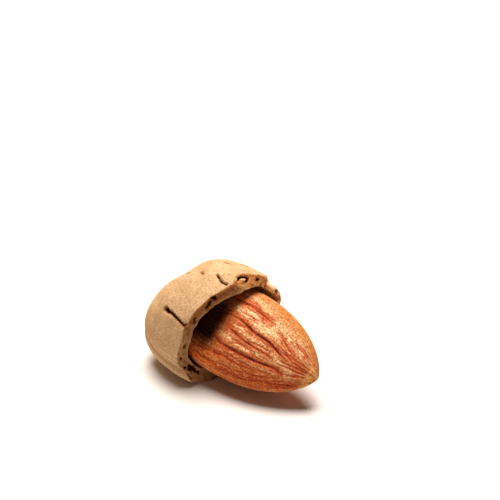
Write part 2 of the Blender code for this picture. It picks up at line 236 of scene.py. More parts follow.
def surfaceOf(piece):
    mesh = piece.data
    return BVHTree.FromPolygons([v.co for v in mesh.vertices], [f.vertices for f in mesh.polygons])


# ---- shell
shellSizes = {
    "baseReach": 11.2, "apexReach": 21.0, "halfWidth": 9.0, "halfThickness": 7.0, "baseRoundness": 2.8,
    "baseSlant": 2.4,
    "cavityReach": 8.8, "cavityHalfWidth": 7.4, "cavityHalfThickness": 5.2, "cavityRoundness": 2.4,
    "keelHeight": 0.75, "keelSpread": 6.5, "seamHeight": 0.25, "seamSpread": 8.0,
    "wave": 0.16, "waveSize": 5.0, "dimple": 0.03, "dimpleSize": 0.9, "growthRidge": 0.05,
    "ledge": 0.3, "ledgeAngle": 214.0, "ledgeSpread": 18.0, "ledgeStart": -5.0, "ledgeFull": -2.0, "chip": 0.22, "chipSize": 1.6, "fineChip": 0.05, "fineChipSize": 0.5,
    "crumb": 0.09, "crumbSize": 0.40, "fineCrumb": 0.05, "fineCrumbSize": 0.18,
    "farFrom": 333.0, "farFull": 341.0,
    "flakeDepth": 0.7, "flakeStart": 2.1, "flakeEdge": 0.3, "flakeSpread": 24.0,
    "columns": 420, "outerRows": 124, "breakRows": 26, "innerRows": 56, "crowding": 0.25,
}
# A flatter patch on the shoulder of the blunt base
flatPatch = {"centre": (-9.0, 4.5, 2.6), "inward": (0.78, -0.47, -0.40), "spread": 2.7, "depth": 0.6}
# Broken edge: angle, how far along x the outside reaches there in mm, and how much further the inner lip
breakLine = (
    (0, 2.2, 0.6), (15, 1.95, 0.6), (20, 1.6, 0.7), (26, 0.95, 1.15), (31, 0.35, 1.6), (38, -0.15, 1.95),
    (43, 0.0, 1.65), (52, 0.3, 0.95), (57, 0.1, 0.8), (68, -0.7, 0.6), (78, -1.4, 0.6), (91, -2.2, 0.6),
    (102, -2.5, 0.6), (112, -2.7, 0.6), (128, -2.75, 0.65), (156, -2.75, 0.65), (170, -1.9, 0.5),
    (180, -0.8, 0.0), (190, -0.2, -0.5), (200, 0.4, -0.9), (222, 1.8, -0.9), (250, 3.4, 0.2),
    (285, 4.2, 0.6), (320, 4.2, 0.6), (357, 4.0, 0.6), (360, 2.2, 0.6),
)
# Pits of the outside: station mm, angle, length, width, width at the other end, bend, turn, depth
shellPits = (
    (-6.55, 105.5, 0.6, 0.92, 0.80, 0.0, -12, 0.8), (-4.45, 108.4, 3.0, 0.58, 0.52, 0.06, -16, 0.42),
    (-2.65, 110.4, 0.5, 0.50, 0.44, 0.0, -16, 0.50),
    (-5.0, 54.7, 0.5, 0.42, 0.36, 0.0, -30, 0.3), (-7.7, 56.2, 0.4, 0.4, 0.3, 0.0, 0, 0.2),
    (-2.25, 51.8, 0.75, 0.36, 0.40, 0.0, -32, 0.5), (-1.0, 55.0, 1.3, 0.38, 0.42, -0.12, -8, 0.55),
    (-3.2, 24.0, 0.8, 0.4, 0.3, 0.0, 5, 0.4),
    (-7.2, 330.0, 2.3, 0.6, 0.3, 0.2, -10, 0.6), (-2.6, 318.0, 0.8, 0.6, 0.5, 0.0, 0, 0.5),
    (1.7, 296.0, 3.0, 0.6, 0.35, -0.2, 6, 0.6), (-4.9, 283.0, 0.7, 0.6, 0.6, 0.0, 0, 0.5),
    (-8.1, 300.0, 0.5, 0.5, 0.4, 0.0, 0, 0.4), (-6.4, 262.0, 1.9, 0.5, 0.3, 0.1, -14, 0.5),
    (-3.0, 345.0, 0.5, 0.5, 0.5, 0.0, 0, 0.4), (-7.4, 205.0, 1.2, 0.5, 0.3, 0.0, 4, 0.4),
)
# Pores of the broken edge: angle, share of the way in, width mm, angle and share of the other end
edgePores = (
    (109.5, 0.03, 0.55, 111.5, 0.05), (11, 0.85, 0.35, 12, 0.95), (16, 0.45, 0.45, 17.5, 0.42), (73, 0.35, 0.75, 75, 0.22),
    (79.5, 0.50, 0.85, 84, 0.68), (101, 0.6, 0.70, 104, 0.72), (134, 0.65, 0.6, 136, 0.6),
    (153, 0.35, 0.4, 154, 0.35), (166, 0.25, 0.4, 167, 0.3), (170, 0.55, 1.0, 174, 0.68),
    (176, 0.75, 0.5, 187, 0.66), (173, 0.14, 0.28, 179, 0.2), (238, 0.5, 0.6, 239, 0.5),
    (268, 0.4, 0.5, 269, 0.4), (301, 0.5, 0.8, 302, 0.5), (335, 0.5, 0.6, 336, 0.5), (350, 0.45, 0.7, 351, 0.45),
)
# Small pits scattered over the sides that the camera doesn't show
hiddenPits = {
    "seed": 23, "number": 22, "angles": (196.0, 372.0), "stations": (-8.6, 2.2), "lengths": (0.25, 1.1),
    "widths": (0.22, 0.42), "depths": (0.12, 0.34), "turn": 25.0, "bend": 0.08,
}
plugPit = {
    "angle": 36.0, "share": 0.36, "halfWidth": 0.78, "halfHeight": 0.42, "turn": -29.0,
    "grooveFrom": -225.0, "grooveTo": 10.0, "groove": 0.26, "depth": 0.5,
}


def baseSlant(x, y, reach):
    if x >= 0.0:
        return 0.0
    return shellSizes["baseSlant"] * mm * y / (shellSizes["halfWidth"] * mm) * (x / reach) ** 2


def flakeDepth(x, angle):
    sizes = shellSizes
    side, spread = (angle - math.tau) % math.tau - math.tau, math.radians(sizes["flakeSpread"])
    if x < sizes["flakeStart"] * mm or side < -spread:
        return 0.0
    step = min(1.0, (x - sizes["flakeStart"] * mm) / (sizes["flakeEdge"] * mm))
    return sizes["flakeDepth"] * mm * step * math.cos(side / spread * math.pi / 2)


def shellOutside(x, angle):
    sizes = shellSizes
    if x < 0.0:
        size = superellipse(x / (sizes["baseReach"] * mm), sizes["baseRoundness"])
    else:
        size = superellipse(x / (sizes["apexReach"] * mm), 2.0)
    ridge = sizes["keelHeight"] * mm * around(angle, math.pi, math.radians(sizes["keelSpread"]))
    ridge += sizes["seamHeight"] * mm * around(angle, 0.0, math.radians(sizes["seamSpread"]))
    y = sizes["halfWidth"] * mm * size * math.cos(angle)
    z = sizes["halfThickness"] * mm * size * math.sin(angle)
    wave = sizes["wave"] * mm * ripple(Vector((x, y, z)), sizes["waveSize"])
    reach = math.hypot(y, z)
    if reach < 1e-9:
        return Vector((x, 0.0, 0.0))
    grown = 1.0 + (ridge * size**0.5 + wave * size - flakeDepth(x, angle)) / reach
    point = Vector((x + baseSlant(x, y, sizes["baseReach"] * mm), y * grown, z * grown))
    away = (point / mm - Vector(flatPatch["centre"])).length / flatPatch["spread"]
    return point + Vector(flatPatch["inward"]) * flatPatch["depth"] * mm * math.exp(-(away**2))


def shellInside(x, angle):
    sizes = shellSizes
    if x < 0.0:
        size = superellipse(x / (sizes["cavityReach"] * mm), sizes["cavityRoundness"])
    else:
        size = superellipse(x / (sizes["apexReach"] * mm), 2.0)
    y = sizes["cavityHalfWidth"] * mm * size * math.cos(angle)
    z = sizes["cavityHalfThickness"] * mm * size * math.sin(angle)
    point = Vector((x + baseSlant(x, y, sizes["cavityReach"] * mm), y, z))
    rise = (x / mm - sizes["ledgeStart"]) / (sizes["ledgeFull"] - sizes["ledgeStart"])
    ledge = around(angle, math.radians(sizes["ledgeAngle"]), math.radians(sizes["ledgeSpread"]))
    inwards = -Vector((0.0, y, z)).normalized()
    return point + inwards * ledge * sizes["ledge"] * mm * min(1.0, max(0.0, rise))


def breakReach(angle):
    sizes, degrees = shellSizes, math.degrees(angle)
    for (a, low, lowBevel), (b, high, highBevel) in zip(breakLine, breakLine[1:]):
        if a <= degrees <= b:
            share = (degrees - a) / (b - a)
            reach, bevel = low + (high - low) * share, lowBevel + (highBevel - lowBevel) * share
    ring = Vector((math.cos(angle), math.sin(angle), 0.0)) * sizes["halfWidth"] * mm
    reach += sizes["chip"] * ripple(ring, sizes["chipSize"])
    reach += sizes["fineChip"] * ripple(ring, sizes["fineChipSize"])
    return reach * mm, (reach + bevel) * mm


def onBreak(angle, share):
    rim, innerRim = breakReach(angle)
    return shellOutside(rim, angle).lerp(shellInside(innerRim, angle), share)


def station(share, baseReach, rim):
    turn = math.acos(max(-1.0, -rim / baseReach)) if rim < 0.0 else math.pi / 2
    x = -baseReach * math.cos(share * turn)
    return x if rim < 0.0 else x + rim * share**2


def shellPlace(row, turn):
    sizes = shellSizes
    angle = (turn - sizes["crowding"] * math.sin(2.0 * turn)) % math.tau
    rim, innerRim = breakReach(angle)
    outerRows, breakRows, innerRows = sizes["outerRows"], sizes["breakRows"], sizes["innerRows"]
    layer, keel, besideKeel = 0.0, 0.0, 0.0
    far = between(math.degrees(angle), sizes["farFrom"], sizes["farFull"])
    if row <= outerRows:
        x = station(row / outerRows, sizes["baseReach"] * mm, rim)
        point = shellOutside(x, angle)
        out = Vector((0.0, point.y, point.z)).normalized()
        fine = sizes["dimple"] * mm * ripple(point, sizes["dimpleSize"])
        near = between(4.5 * mm - abs(point.z), 0.0, 3.0 * mm) * between(-point.y, 0.0, 4.0 * mm)
        lines = noise.noise(Vector((point.x, point.y, 40.0 * point.z)) / (9.0 * mm))
        fine += sizes["growthRidge"] * mm * near * lines
        point += out * fine
        keel = around(angle, math.pi, math.radians(5.0)) * between(row / outerRows, 0.0, 0.12)
        besideKeel = around(angle, math.radians(168.5), math.radians(2.6)) * between(row / outerRows, 0.1, 0.3)
    elif row < outerRows + breakRows:
        layer = (row - outerRows) / breakRows
        point = shellOutside(rim, angle).lerp(shellInside(innerRim, angle), layer)
        rough = noise.noise(point * (2.0 / (sizes["chipSize"] * mm)))
        middle = math.sin(math.pi * layer) ** 0.5
        crumb = sizes["crumb"] * ripple(point, sizes["crumbSize"])
        crumb += sizes["fineCrumb"] * ripple(point, sizes["fineCrumbSize"])
        point.x += (sizes["chip"] * rough + crumb * middle) * mm
    else:
        left = (outerRows + breakRows + innerRows - row) / innerRows
        x = station(left, sizes["cavityReach"] * mm, innerRim)
        point = shellInside(x, angle)
        layer = 1.0 + min(1.0, (innerRim - x) / (1.2 * mm))
    place = tuple(part / mm for part in point)
    return point, {"nutPlace": place, "layer": layer, "keel": keel, "besideKeel": besideKeel,
                   "far": far}


def scatteredPits():
    rng, scatter = random.Random(hiddenPits["seed"]), hiddenPits
    for order in range(scatter["number"]):
        x, degrees = rng.uniform(*scatter["stations"]), rng.uniform(*scatter["angles"])
        length, width, depth = (rng.uniform(*scatter[key]) for key in ("lengths", "widths", "depths"))
        bend, turn = rng.uniform(-1.0, 1.0) * scatter["bend"], rng.uniform(-1.0, 1.0) * scatter["turn"]
        if x < breakReach(math.radians(degrees % 360.0))[0] / mm - 1.0:
            yield x, degrees, length, width, 0.8 * width, bend, turn, depth


def pitLines(surface):
    lines = []
    for x, degrees, length, first, last, bend, turn, depth in (*shellPits, *scatteredPits()):
        centre, axes = pitFrame(x * mm, math.radians(degrees))
        axes = axes @ Matrix.Rotation(math.radians(turn), 3, "Z")
        steps = max(3, round(length / 0.15))
        line = []
        for step in range(steps + 1):
            share = step / steps
            along = 2.0 * share - 1.0
            place = centre + axes @ Vector((along * length / 2, bend * (1 - along**2), 0.0)) * mm
            place = surface.find_nearest(place)[0]
            wide = (first + (last - first) * share ** 0.6) / 2 + 0.04
            line.append((place, wide * mm, depth * (1.0 - 0.3 * share) * mm))
        lines.append(line)
    for degrees, share, width, lastDegrees, lastShare in edgePores:
        line = []
        for step in range(5):
            turn, inwards = (first + (last - first) * step / 4 for first, last in ((degrees, lastDegrees), (share, lastShare)))
            place = surface.find_nearest(onBreak(math.radians(turn), inwards))[0]
            line.append((place, 0.64 * width * mm, min(0.95 * width, 0.5) * mm))
        lines.append(line)
    centre, axes = breakFrame()
    ring = []
    for step in range(25):
        turn = math.radians(plugPit["grooveFrom"] + (plugPit["grooveTo"] - plugPit["grooveFrom"]) * step / 24)
        place = Vector((math.cos(turn) * plugPit["halfWidth"], math.sin(turn) * plugPit["halfHeight"], 0.0)) * mm
        place = surface.find_nearest(centre + axes @ place)[0]
        ring.append((place, plugPit["groove"] * mm, plugPit["depth"] * mm))
    lines.append(ring)
    return lines


def breakFrame():
    # the plug's place on the broken edge, and its axes: round the nut, inwards and out of the edge
    angle = math.radians(plugPit["angle"])
    inwards = (onBreak(angle, 1.0) - onBreak(angle, 0.0)).normalized()
    out = Vector((0.0, -math.sin(angle), math.cos(angle))).cross(inwards).normalized()
    axes = Matrix((inwards.cross(out), inwards, out)).transposed()
    return onBreak(angle, plugPit["share"]), axes @ Matrix.Rotation(math.radians(plugPit["turn"]), 3, "Z")


def pitFrame(x, angle):
    centre = shellOutside(x, angle)
    along = (shellOutside(x + 0.03 * mm, angle) - centre).normalized()
    outward = along.cross(shellOutside(x, angle + 0.03) - centre).normalized()
    if outward.dot(Vector((0.0, centre.y, centre.z))) < 0.0:
        outward.negate()
    return centre, Matrix((along, outward.cross(along), outward)).transposed()


# ---- kernel
kernelSizes = {
    "tipReach": 15.1, "baseReach": 9.2, "halfWidth": 6.95, "halfThickness": 3.95,
    "tipFullness": (2.48, 0.71), "tipThinning": (2.0, 0.80), "baseRoundness": 2.3,
    "hollow": 1.3, "hollowAngle": 97.0, "hollowSpread": 40.0, "hollowStart": 2.0, "hollowFull": -3.0,
    "swell": 0.10, "swellSize": 2.6, "swellLength": 12.0,
    "wrinkleWidth": 0.78, "wrinkleDepth": 0.62,
    "columns": 400, "rows": 230,
}
# Wrinkles: half width mm, depth mm, then (station mm, angle) along each
mainWrinkles = (
    (0.60, 0.42, ((-3.5, 52), (-0.1, 53), (0.7, 53.4), (1.5, 52), (2.4, 53), (3.4, 54), (4.2, 55), (5.3, 56), (6.0, 57))),
    (0.34, 0.16, ((0.2, 45), (1.0, 46), (1.9, 47), (3.2, 49))),
    (0.66, 0.50, ((-4.0, 75), (0.0, 77), (1.2, 77), (2.3, 78), (3.4, 80), (4.4, 82), (6.4, 82), (7.3, 83), (8.3, 86), (9.5, 90), (10.6, 93))),
    (0.40, 0.20, ((7.3, 61), (7.8, 63), (8.8, 69), (9.8, 74), (10.6, 77), (11.2, 79))),
    (0.52, 0.32, ((-3.5, 87), (-0.2, 90), (1.2, 93), (2.3, 95), (3.5, 97), (4.7, 98), (7.0, 99), (8.4, 101))),
    (0.62, 0.48, ((-5.0, 105), (-1.6, 108), (-0.6, 111), (0.4, 113), (2.5, 114), (6.6, 114), (8.6, 113), (9.8, 114), (10.6, 117))),
    (0.46, 0.26, ((-5.0, 134), (-1.9, 132), (-0.6, 130), (0.7, 129), (1.9, 128), (4.5, 129), (6.4, 127), (9.0, 125))),
    (0.42, 0.26, ((-2.5, 146), (-0.1, 147), (1.5, 150), (3.2, 148), (4.9, 149), (6.5, 149), (8.1, 143), (10.5, 136))),
    (0.42, 0.22, ((9.4, 83), (10.1, 85), (11.4, 90), (12.8, 91), (13.9, 89))),
    (0.38, 0.22, ((4.5, 139), (5.9, 137), (7.4, 135), (8.9, 132), (10.8, 127))),
    (0.40, 0.18, ((-4.0, 163), (-2.0, 166), (2.0, 168), (5.0, 166), (8.0, 162), (11.0, 155))),
    (0.50, 0.24, ((-4.0, 205), (2.0, 208), (8.0, 207))),
    (0.60, 0.34, ((-6.0, 216), (-1.0, 219), (5.0, 215), (11.0, 213))),
    (0.45, 0.20, ((-3.0, 227), (2.0, 229), (6.0, 230))),
    (0.62, 0.40, ((-7.0, 238), (-1.0, 235), (6.0, 238), (12.0, 236))),
    (0.55, 0.30, ((-5.0, 250), (2.0, 254), (9.0, 253))),
    (0.62, 0.42, ((-7.0, 262), (0.0, 265), (7.0, 262), (13.0, 259))),
    (0.50, 0.26, ((-2.0, 273), (4.0, 277), (10.0, 276))),
    (0.62, 0.40, ((-7.0, 285), (-1.0, 288), (5.0, 286), (11.0, 284))),
    (0.50, 0.26, ((-4.0, 297), (2.0, 301), (7.0, 300))),
    (0.58, 0.34, ((-6.0, 309), (0.0, 311), (6.0, 308), (12.0, 305))),
    (0.45, 0.20, ((-3.0, 321), (3.0, 322), (9.0, 318))),
)
fineWrinkles = {"seed": 7, "fine": 210, "width": 0.20, "depth": 0.10}


def kernelSurface(x, angle):
    sizes = kernelSizes
    if x > 0.0:
        share = min(1.0, x / (sizes["tipReach"] * mm))
        width = (1.0 - share ** sizes["tipFullness"][0]) ** sizes["tipFullness"][1]
        thickness = (1.0 - share ** sizes["tipThinning"][0]) ** sizes["tipThinning"][1]
    else:
        width = superellipse(x / (sizes["baseReach"] * mm), sizes["baseRoundness"])
        thickness = width
    point = Vector((x, sizes["halfWidth"] * mm * width * math.cos(angle),
                    sizes["halfThickness"] * mm * thickness * math.sin(angle)))
    # the shown face drops away inside the shell
    inside = between(-x / mm, -sizes["hollowStart"], -sizes["hollowFull"]) * thickness
    drop = around(angle, math.radians(sizes["hollowAngle"]), math.radians(sizes["hollowSpread"]))
    point.z -= sizes["hollow"] * mm * inside * drop
    spread = Vector((x / (sizes["swellLength"] * mm), 0.0, 0.0))
    spread.y = sizes["halfWidth"] / sizes["swellSize"] * math.cos(angle)
    spread.z = sizes["halfWidth"] / sizes["swellSize"] * math.sin(angle)
    swell = sizes["swell"] * mm * noise.noise(spread) * width * (1.0 - max(0.0, math.cos(angle)) ** 2)
    if width > 0.0:
        point += Vector((0.0, point.y, point.z)).normalized() * (swell - 0.5 * sizes["swell"] * mm * width)
    return point


def kernelPlace(row, angle):
    turn = math.pi * row / kernelSizes["rows"]
    reach = kernelSizes["tipReach"] if turn < math.pi / 2 else kernelSizes["baseReach"]
    x = reach * mm * math.cos(turn)
    return kernelSurface(x, angle), {"skinPlace": (x / mm, math.cos(angle), math.sin(angle))}


def smoothAlong(values, at):
    # a Catmull-Rom curve through the values
    low = min(int(at), len(values) - 2)
    share = at - low
    before, first, last, after = (values[min(len(values) - 1, max(0, low + k))] for k in (-1, 0, 1, 2))
    slope, lastSlope = (last - before) / 2, (after - first) / 2
    return (first * (1 + 2 * share) * (1 - share) ** 2 + slope * share * (1 - share) ** 2
            + last * share**2 * (3 - 2 * share) - lastSlope * share**2 * (1 - share))


def wrinkleLine(places, width, depth, rng, waver=0.5):
    steps, line = 8 * (len(places) - 1), []
    phase = rng.uniform(0.0, 50.0)
    for step in range(steps + 1):
        at = step / steps * (len(places) - 1)
        x, angle = (smoothAlong([place[k] for place in places], at) for k in (0, 1))
        angle += waver * noise.noise(Vector((x * 0.55, phase, 0.0)))
        taper = math.sin(math.pi * min(1.0, max(0.0, step / steps))) ** 0.45
        strength = 0.8 + 0.4 * noise.noise(Vector((x * 0.8, phase, 9.0)))
        x = min(x, kernelSizes["tipReach"] - 0.2) * mm
        line.append((kernelSurface(x, math.radians(angle)),
                     width * (0.25 + 0.75 * taper) * mm, depth * taper * strength * mm))
    return line


def shortWrinkles(rng):
    lines = []
    for order in range(fineWrinkles["fine"]):
        angle = rng.uniform(50, 185) if order % 2 else rng.uniform(185, 330)
        first = rng.uniform(-8.0, 11.0)
        last = min(13.8, first + rng.uniform(1.5, 7.0))
        slant = rng.uniform(-4.0, 4.0)
        places = [(first + (last - first) * share / 3, angle + slant * share / 3) for share in range(4)]
        lines.append(wrinkleLine(places, fineWrinkles["width"] * rng.uniform(0.7, 1.2),
                                 fineWrinkles["depth"] * rng.uniform(0.4, 1.4), rng, 1.6))
    return lines


# ---- finishes
def newMaterial(name, roughness):
    material = bpy.data.materials.new(name)
    material.use_nodes = True
    shader = material.node_tree.nodes["Principled BSDF"]
    shader.inputs["Roughness"].default_value = roughness
    return material, material.node_tree, shader


def mixColour(tree, factor, first, second, blend="MIX"):
    made = addNode(tree, "ShaderNodeMix", data_type="RGBA", blend_type=blend, clamp_factor=True)
    for order, value in ((0, factor), (6, first), (7, second)):
        if isinstance(value, bpy.types.NodeSocket):
            tree.links.new(value, made.inputs[order])
        elif order:
            made.inputs[order].default_value = (*value, 1.0)
        else:
            made.inputs[order].default_value = value
    return made.outputs[2]


def ramp(tree, value, low, high, first=0.0, last=1.0):
    return addNode(
        tree, "ShaderNodeMapRange",
        {"Value": value, "From Min": low, "From Max": high, "To Min": first, "To Max": last},
        interpolation_type="SMOOTHSTEP",
    ).outputs[0]


def colourRamp(tree, value, stops):
    made = addNode(tree, "ShaderNodeValToRGB", {0: value})
    while len(made.color_ramp.elements) < len(stops):
        made.color_ramp.elements.new(0.5)
    for element, (place, colour) in zip(made.color_ramp.elements, stops):
        element.position = place
        element.color = (*colour, 1.0)
    return made.outputs[0]


def cloud(tree, vector, scale, detail=2.0, roughness=0.5):
    return addNode(
        tree, "ShaderNodeTexNoise",
        {"Vector": vector, "Scale": scale, "Detail": detail, "Roughness": roughness},
    ).outputs["Fac"]


def makeSpeckle():
    # fine mottle of dry plant skin, for the shell and the kernel
    tree = bpy.data.node_groups.new("drySpeckle", "ShaderNodeTree")
    face = tree.interface
    face.new_socket("Vector", in_out="INPUT", socket_type="NodeSocketVector")
    for label, value in (("Scale", 5000.0), ("Contrast", 1.0)):
        face.new_socket(label, in_out="INPUT", socket_type="NodeSocketFloat").default_value = value
    face.new_socket("Colour", in_out="INPUT", socket_type="NodeSocketColor")
    face.new_socket("Colour", in_out="OUTPUT", socket_type="NodeSocketColor")
    face.new_socket("Height", in_out="OUTPUT", socket_type="NodeSocketFloat")
    given = addNode(tree, "NodeGroupInput").outputs
    grain = addNode(
        tree, "ShaderNodeTexNoise",
        {"Vector": given["Vector"], "Scale": given["Scale"], "Detail": 3.0, "Roughness": 0.62},
    ).outputs["Fac"]
    swing = calculate(tree, "MULTIPLY", calculate(tree, "SUBTRACT", grain, 0.5), given["Contrast"])
    gain = calculate(tree, "ADD", 1.0, calculate(tree, "MULTIPLY", swing, 0.6))
    gamma = calculate(tree, "SUBTRACT", 1.0, calculate(tree, "MINIMUM", swing, 0.02))
    deeper = addNode(tree, "ShaderNodeGamma", {"Color": given["Colour"], "Gamma": gamma}).outputs[0]
    tinted = addNode(tree, "ShaderNodeVectorMath", {0: deeper, "Scale": gain}, operation="SCALE").outputs[0]
    addNode(tree, "NodeGroupOutput", {"Colour": tinted, "Height": grain})
    return tree


speckleTree = makeSpeckle()


def speckle(tree, vector, colour, scale, contrast):
    made = addNode(tree, "ShaderNodeGroup", node_tree=speckleTree)
    tree.links.new(vector, made.inputs["Vector"])
    tree.links.new(colour, made.inputs["Colour"])
    made.inputs["Scale"].default_value = scale
    made.inputs["Contrast"].default_value = contrast
    return made.outputs["Colour"], made.outputs["Height"]


def attribute(tree, name):
    return addNode(tree, "ShaderNodeAttribute", attribute_name=name).outputs


shellColours = {
    # the keel's cream is partly a painted highlight
    "pale": (0.590, 0.372, 0.198), "deep": (0.495, 0.296, 0.144), "keel": (0.82, 0.56, 0.30),
    # the pit colour is painted shade, laid in by a pit's depth
    "growth": (0.30, 0.165, 0.075), "paintedPitShade": (0.055, 0.015, 0.005), "toast": (0.36, 0.125, 0.030),
    # the inside's dark brown is partly painted shade of the cavity
    "inside": (0.20, 0.075, 0.026), "plug": (0.66, 0.40, 0.19), "keelSide": (0.70, 0.46, 0.26), "leaf": (0.20, 0.050, 0.014),
    # the orange edge is partly painted light
    "paleEdge": (0.44, 0.275, 0.125), "orangeEdgeAndPaintedLight": (0.70, 0.29, 0.090), "orangeLip": (0.95, 0.50, 0.20),
    # the far top and the far inside are partly painted light
    "farTopPaleAndPaintedLight": (0.98, 0.74, 0.46), "farInsideAndPaintedLight": (0.72, 0.34, 0.13), "growthPitch": 9.5,
}


def makeShellWood():
    material, tree, shader = newMaterial("shellWood", 0.86)
    place = addNode(tree, "ShaderNodeTexCoord").outputs["Object"]
    nut = attribute(tree, "nutPlace")["Vector"]
    layer = attribute(tree, "layer")["Fac"]
    patches = ramp(tree, cloud(tree, place, 420.0, 4.0, 0.6), 0.33, 0.68)
    skin = mixColour(tree, patches, shellColours["deep"], shellColours["pale"])
    parts = addNode(tree, "ShaderNodeSeparateXYZ", {0: nut}).outputs
    skin = mixColour(tree, calculate(tree, "MULTIPLY", ramp(tree, parts[1], -3.0, -7.5), 0.45),
                     skin, shellColours["keelSide"])
    # growth lines run level with the keel, close to it
    level = calculate(tree, "ABSOLUTE", parts[2])
    bentLevel = calculate(tree, "ADD", level, calculate(tree, "MULTIPLY", cloud(tree, place, 300.0, 2.0), 1.3))
    waves = calculate(tree, "SINE", calculate(tree, "MULTIPLY", bentLevel, shellColours["growthPitch"]))
    lines = ramp(tree, calculate(tree, "ADD", waves, calculate(tree, "MULTIPLY", patches, 0.7)), 0.55, 1.25)
    near = calculate(tree, "MULTIPLY", ramp(tree, level, 4.8, 1.5), ramp(tree, parts[1], 1.0, -4.5))
    skin = mixColour(tree, calculate(tree, "MULTIPLY", calculate(tree, "MULTIPLY", lines, near), 0.74),
                     skin, shellColours["growth"])
    skin = mixColour(tree, calculate(tree, "MULTIPLY", attribute(tree, "besideKeel")["Fac"], 0.60),
                     skin, shellColours["growth"])
    # the keel's crest: a pale suture, made brighter as a painted highlight along it
    skin = mixColour(tree, attribute(tree, "keel")["Fac"], skin, shellColours["keel"])
    # broken edge: orange rim, brown middle, grey-tan and a pale lip, then the brown inside, darkened as painted shade
    # of the cavity
    crumbs = cloud(tree, place, 2600.0, 3.0, 0.65)
    shifted = calculate(tree, "ADD", calculate(tree, "MULTIPLY", layer, 0.5),
                        calculate(tree, "MULTIPLY", calculate(tree, "SUBTRACT", crumbs, 0.5), 0.16))
    broken = colourRamp(tree, shifted, (
        (0.0, (0.50, 0.235, 0.075)), (0.07, (0.36, 0.135, 0.038)), (0.20, (0.25, 0.090, 0.028)),
        (0.33, (0.29, 0.130, 0.048)), (0.43, (0.36, 0.185, 0.075)), (0.50, (0.46, 0.250, 0.105)),
        (0.56, (0.26, 0.110, 0.040)), (1.0, shellColours["inside"]),
    ))
    # paler towards the keel, more orange towards the seam, where the orange is also brightened as painted light on a
    # face the key light misses
    palerEdge = calculate(tree, "MULTIPLY", ramp(tree, parts[1], -1.0, -5.0), ramp(tree, crumbs, 0.70, 0.45))
    broken = mixColour(tree, calculate(tree, "MULTIPLY", palerEdge, 0.72), broken, shellColours["paleEdge"])
    orangeEdgeAndPaintedLight = calculate(tree, "MULTIPLY", ramp(tree, parts[1], 4.6, 6.6), ramp(tree, layer, 1.0, 0.7))
    broken = mixColour(tree, calculate(tree, "MULTIPLY", orangeEdgeAndPaintedLight, 0.72), broken, shellColours["orangeEdgeAndPaintedLight"])
    orangeLip = calculate(tree, "MULTIPLY", ramp(tree, parts[1], 2.5, 5.0), ramp(tree, layer, 0.16, 0.05))
    broken = mixColour(tree, calculate(tree, "MULTIPLY", orangeLip, 0.85), broken, shellColours["orangeLip"])
    # the far piece: a pale rounded top over dark layers, the pale top brightened as painted light where the key light
    # misses it
    far = attribute(tree, "far")["Fac"]
    leaves = calculate(tree, "SINE", calculate(tree, "ADD", calculate(tree, "MULTIPLY", layer, 26.0),
                                               calculate(tree, "MULTIPLY", crumbs, 7.0)))
    leaves = calculate(tree, "MULTIPLY", ramp(tree, leaves, -0.2, 0.5), ramp(tree, layer, 0.40, 0.55))
    broken = mixColour(tree, calculate(tree, "MULTIPLY", leaves, calculate(tree, "MULTIPLY", far, 0.8)),
                       broken, shellColours["leaf"])
    broken = mixColour(tree, calculate(tree, "MULTIPLY", ramp(tree, layer, 0.52, 0.28), calculate(
        tree, "MULTIPLY", far, 0.85)), broken, shellColours["farTopPaleAndPaintedLight"])
    stains = calculate(tree, "MULTIPLY", ramp(tree, cloud(tree, place, 1500.0, 3.0, 0.6), 0.50, 0.62),
                       ramp(tree, layer, 0.95, 0.75))
    broken = mixColour(tree, calculate(tree, "MULTIPLY", stains, 0.50), broken, shellColours["toast"])
    specks = ramp(tree, cloud(tree, place, 4200.0, 2.0), 0.60, 0.68)
    broken = mixColour(tree, calculate(tree, "MULTIPLY", specks, 0.55), broken, shellColours["toast"])
    colour = mixColour(tree, ramp(tree, layer, 0.0, 0.06), skin, broken)
    # painted light: the far piece's inside is made much lighter than the rest of the inside, partly its own
    # orange-brown and partly standing in for light reaching it
    farInsideAndPaintedLight = calculate(tree, "MULTIPLY", far, ramp(tree, layer, 1.02, 1.25))
    colour = mixColour(tree, calculate(tree, "MULTIPLY", farInsideAndPaintedLight, 0.85), colour, shellColours["farInsideAndPaintedLight"])
    halo = calculate(tree, "MULTIPLY", ramp(tree, attribute(tree, "halo")["Fac"], 0.3, 1.0), 0.50)
    colour = mixColour(tree, halo, colour, shellColours["toast"])
    # painted shade: pits, pores and the slit go towards near black with their depth
    sunk = ramp(tree, attribute(tree, "sunk")["Fac"], 0.28, 0.80)
    colour = mixColour(tree, sunk, colour, shellColours["paintedPitShade"])
    colour = mixColour(tree, attribute(tree, "plug")["Fac"], colour, shellColours["plug"])
    colour, grain = speckle(tree, place, colour, 3600.0, 1.3)
    tree.links.new(colour, shader.inputs["Base Color"])
    bump = addNode(tree, "ShaderNodeBump", {"Height": grain, "Strength": 0.35, "Distance": 0.08 * mm})
    tree.links.new(bump.outputs[0], shader.inputs["Normal"])
    shader.inputs["Specular IOR Level"].default_value = 0.06
    return material


kernelColours = {
    "ridge": (0.96, 0.640, 0.325), "orange": (0.52, 0.118, 0.020), "gold": (0.48, 0.175, 0.028),
    "lower": (0.56, 0.120, 0.018), "network": (0.46, 0.080, 0.012), "band": (0.45, 0.052, 0.008),
    # on the next line the pale edge colour is a painted highlight, the vivid red is painted light, and the dusky
    # red-brown leads into the painted shade
    "core": (0.110, 0.013, 0.004), "tip": (0.34, 0.075, 0.028), "edge": (0.66, 0.310, 0.115), "vividPaintedLight": (0.98, 0.235, 0.045), "crumb": (0.86, 0.40, 0.13), "paintedShadeEdge": (0.40, 0.095, 0.018), "point": (0.84, 0.42, 0.13),
    # painted shade: near black for the skin inside the shell
    "paintedShade": (0.022, 0.004, 0.0015),
}


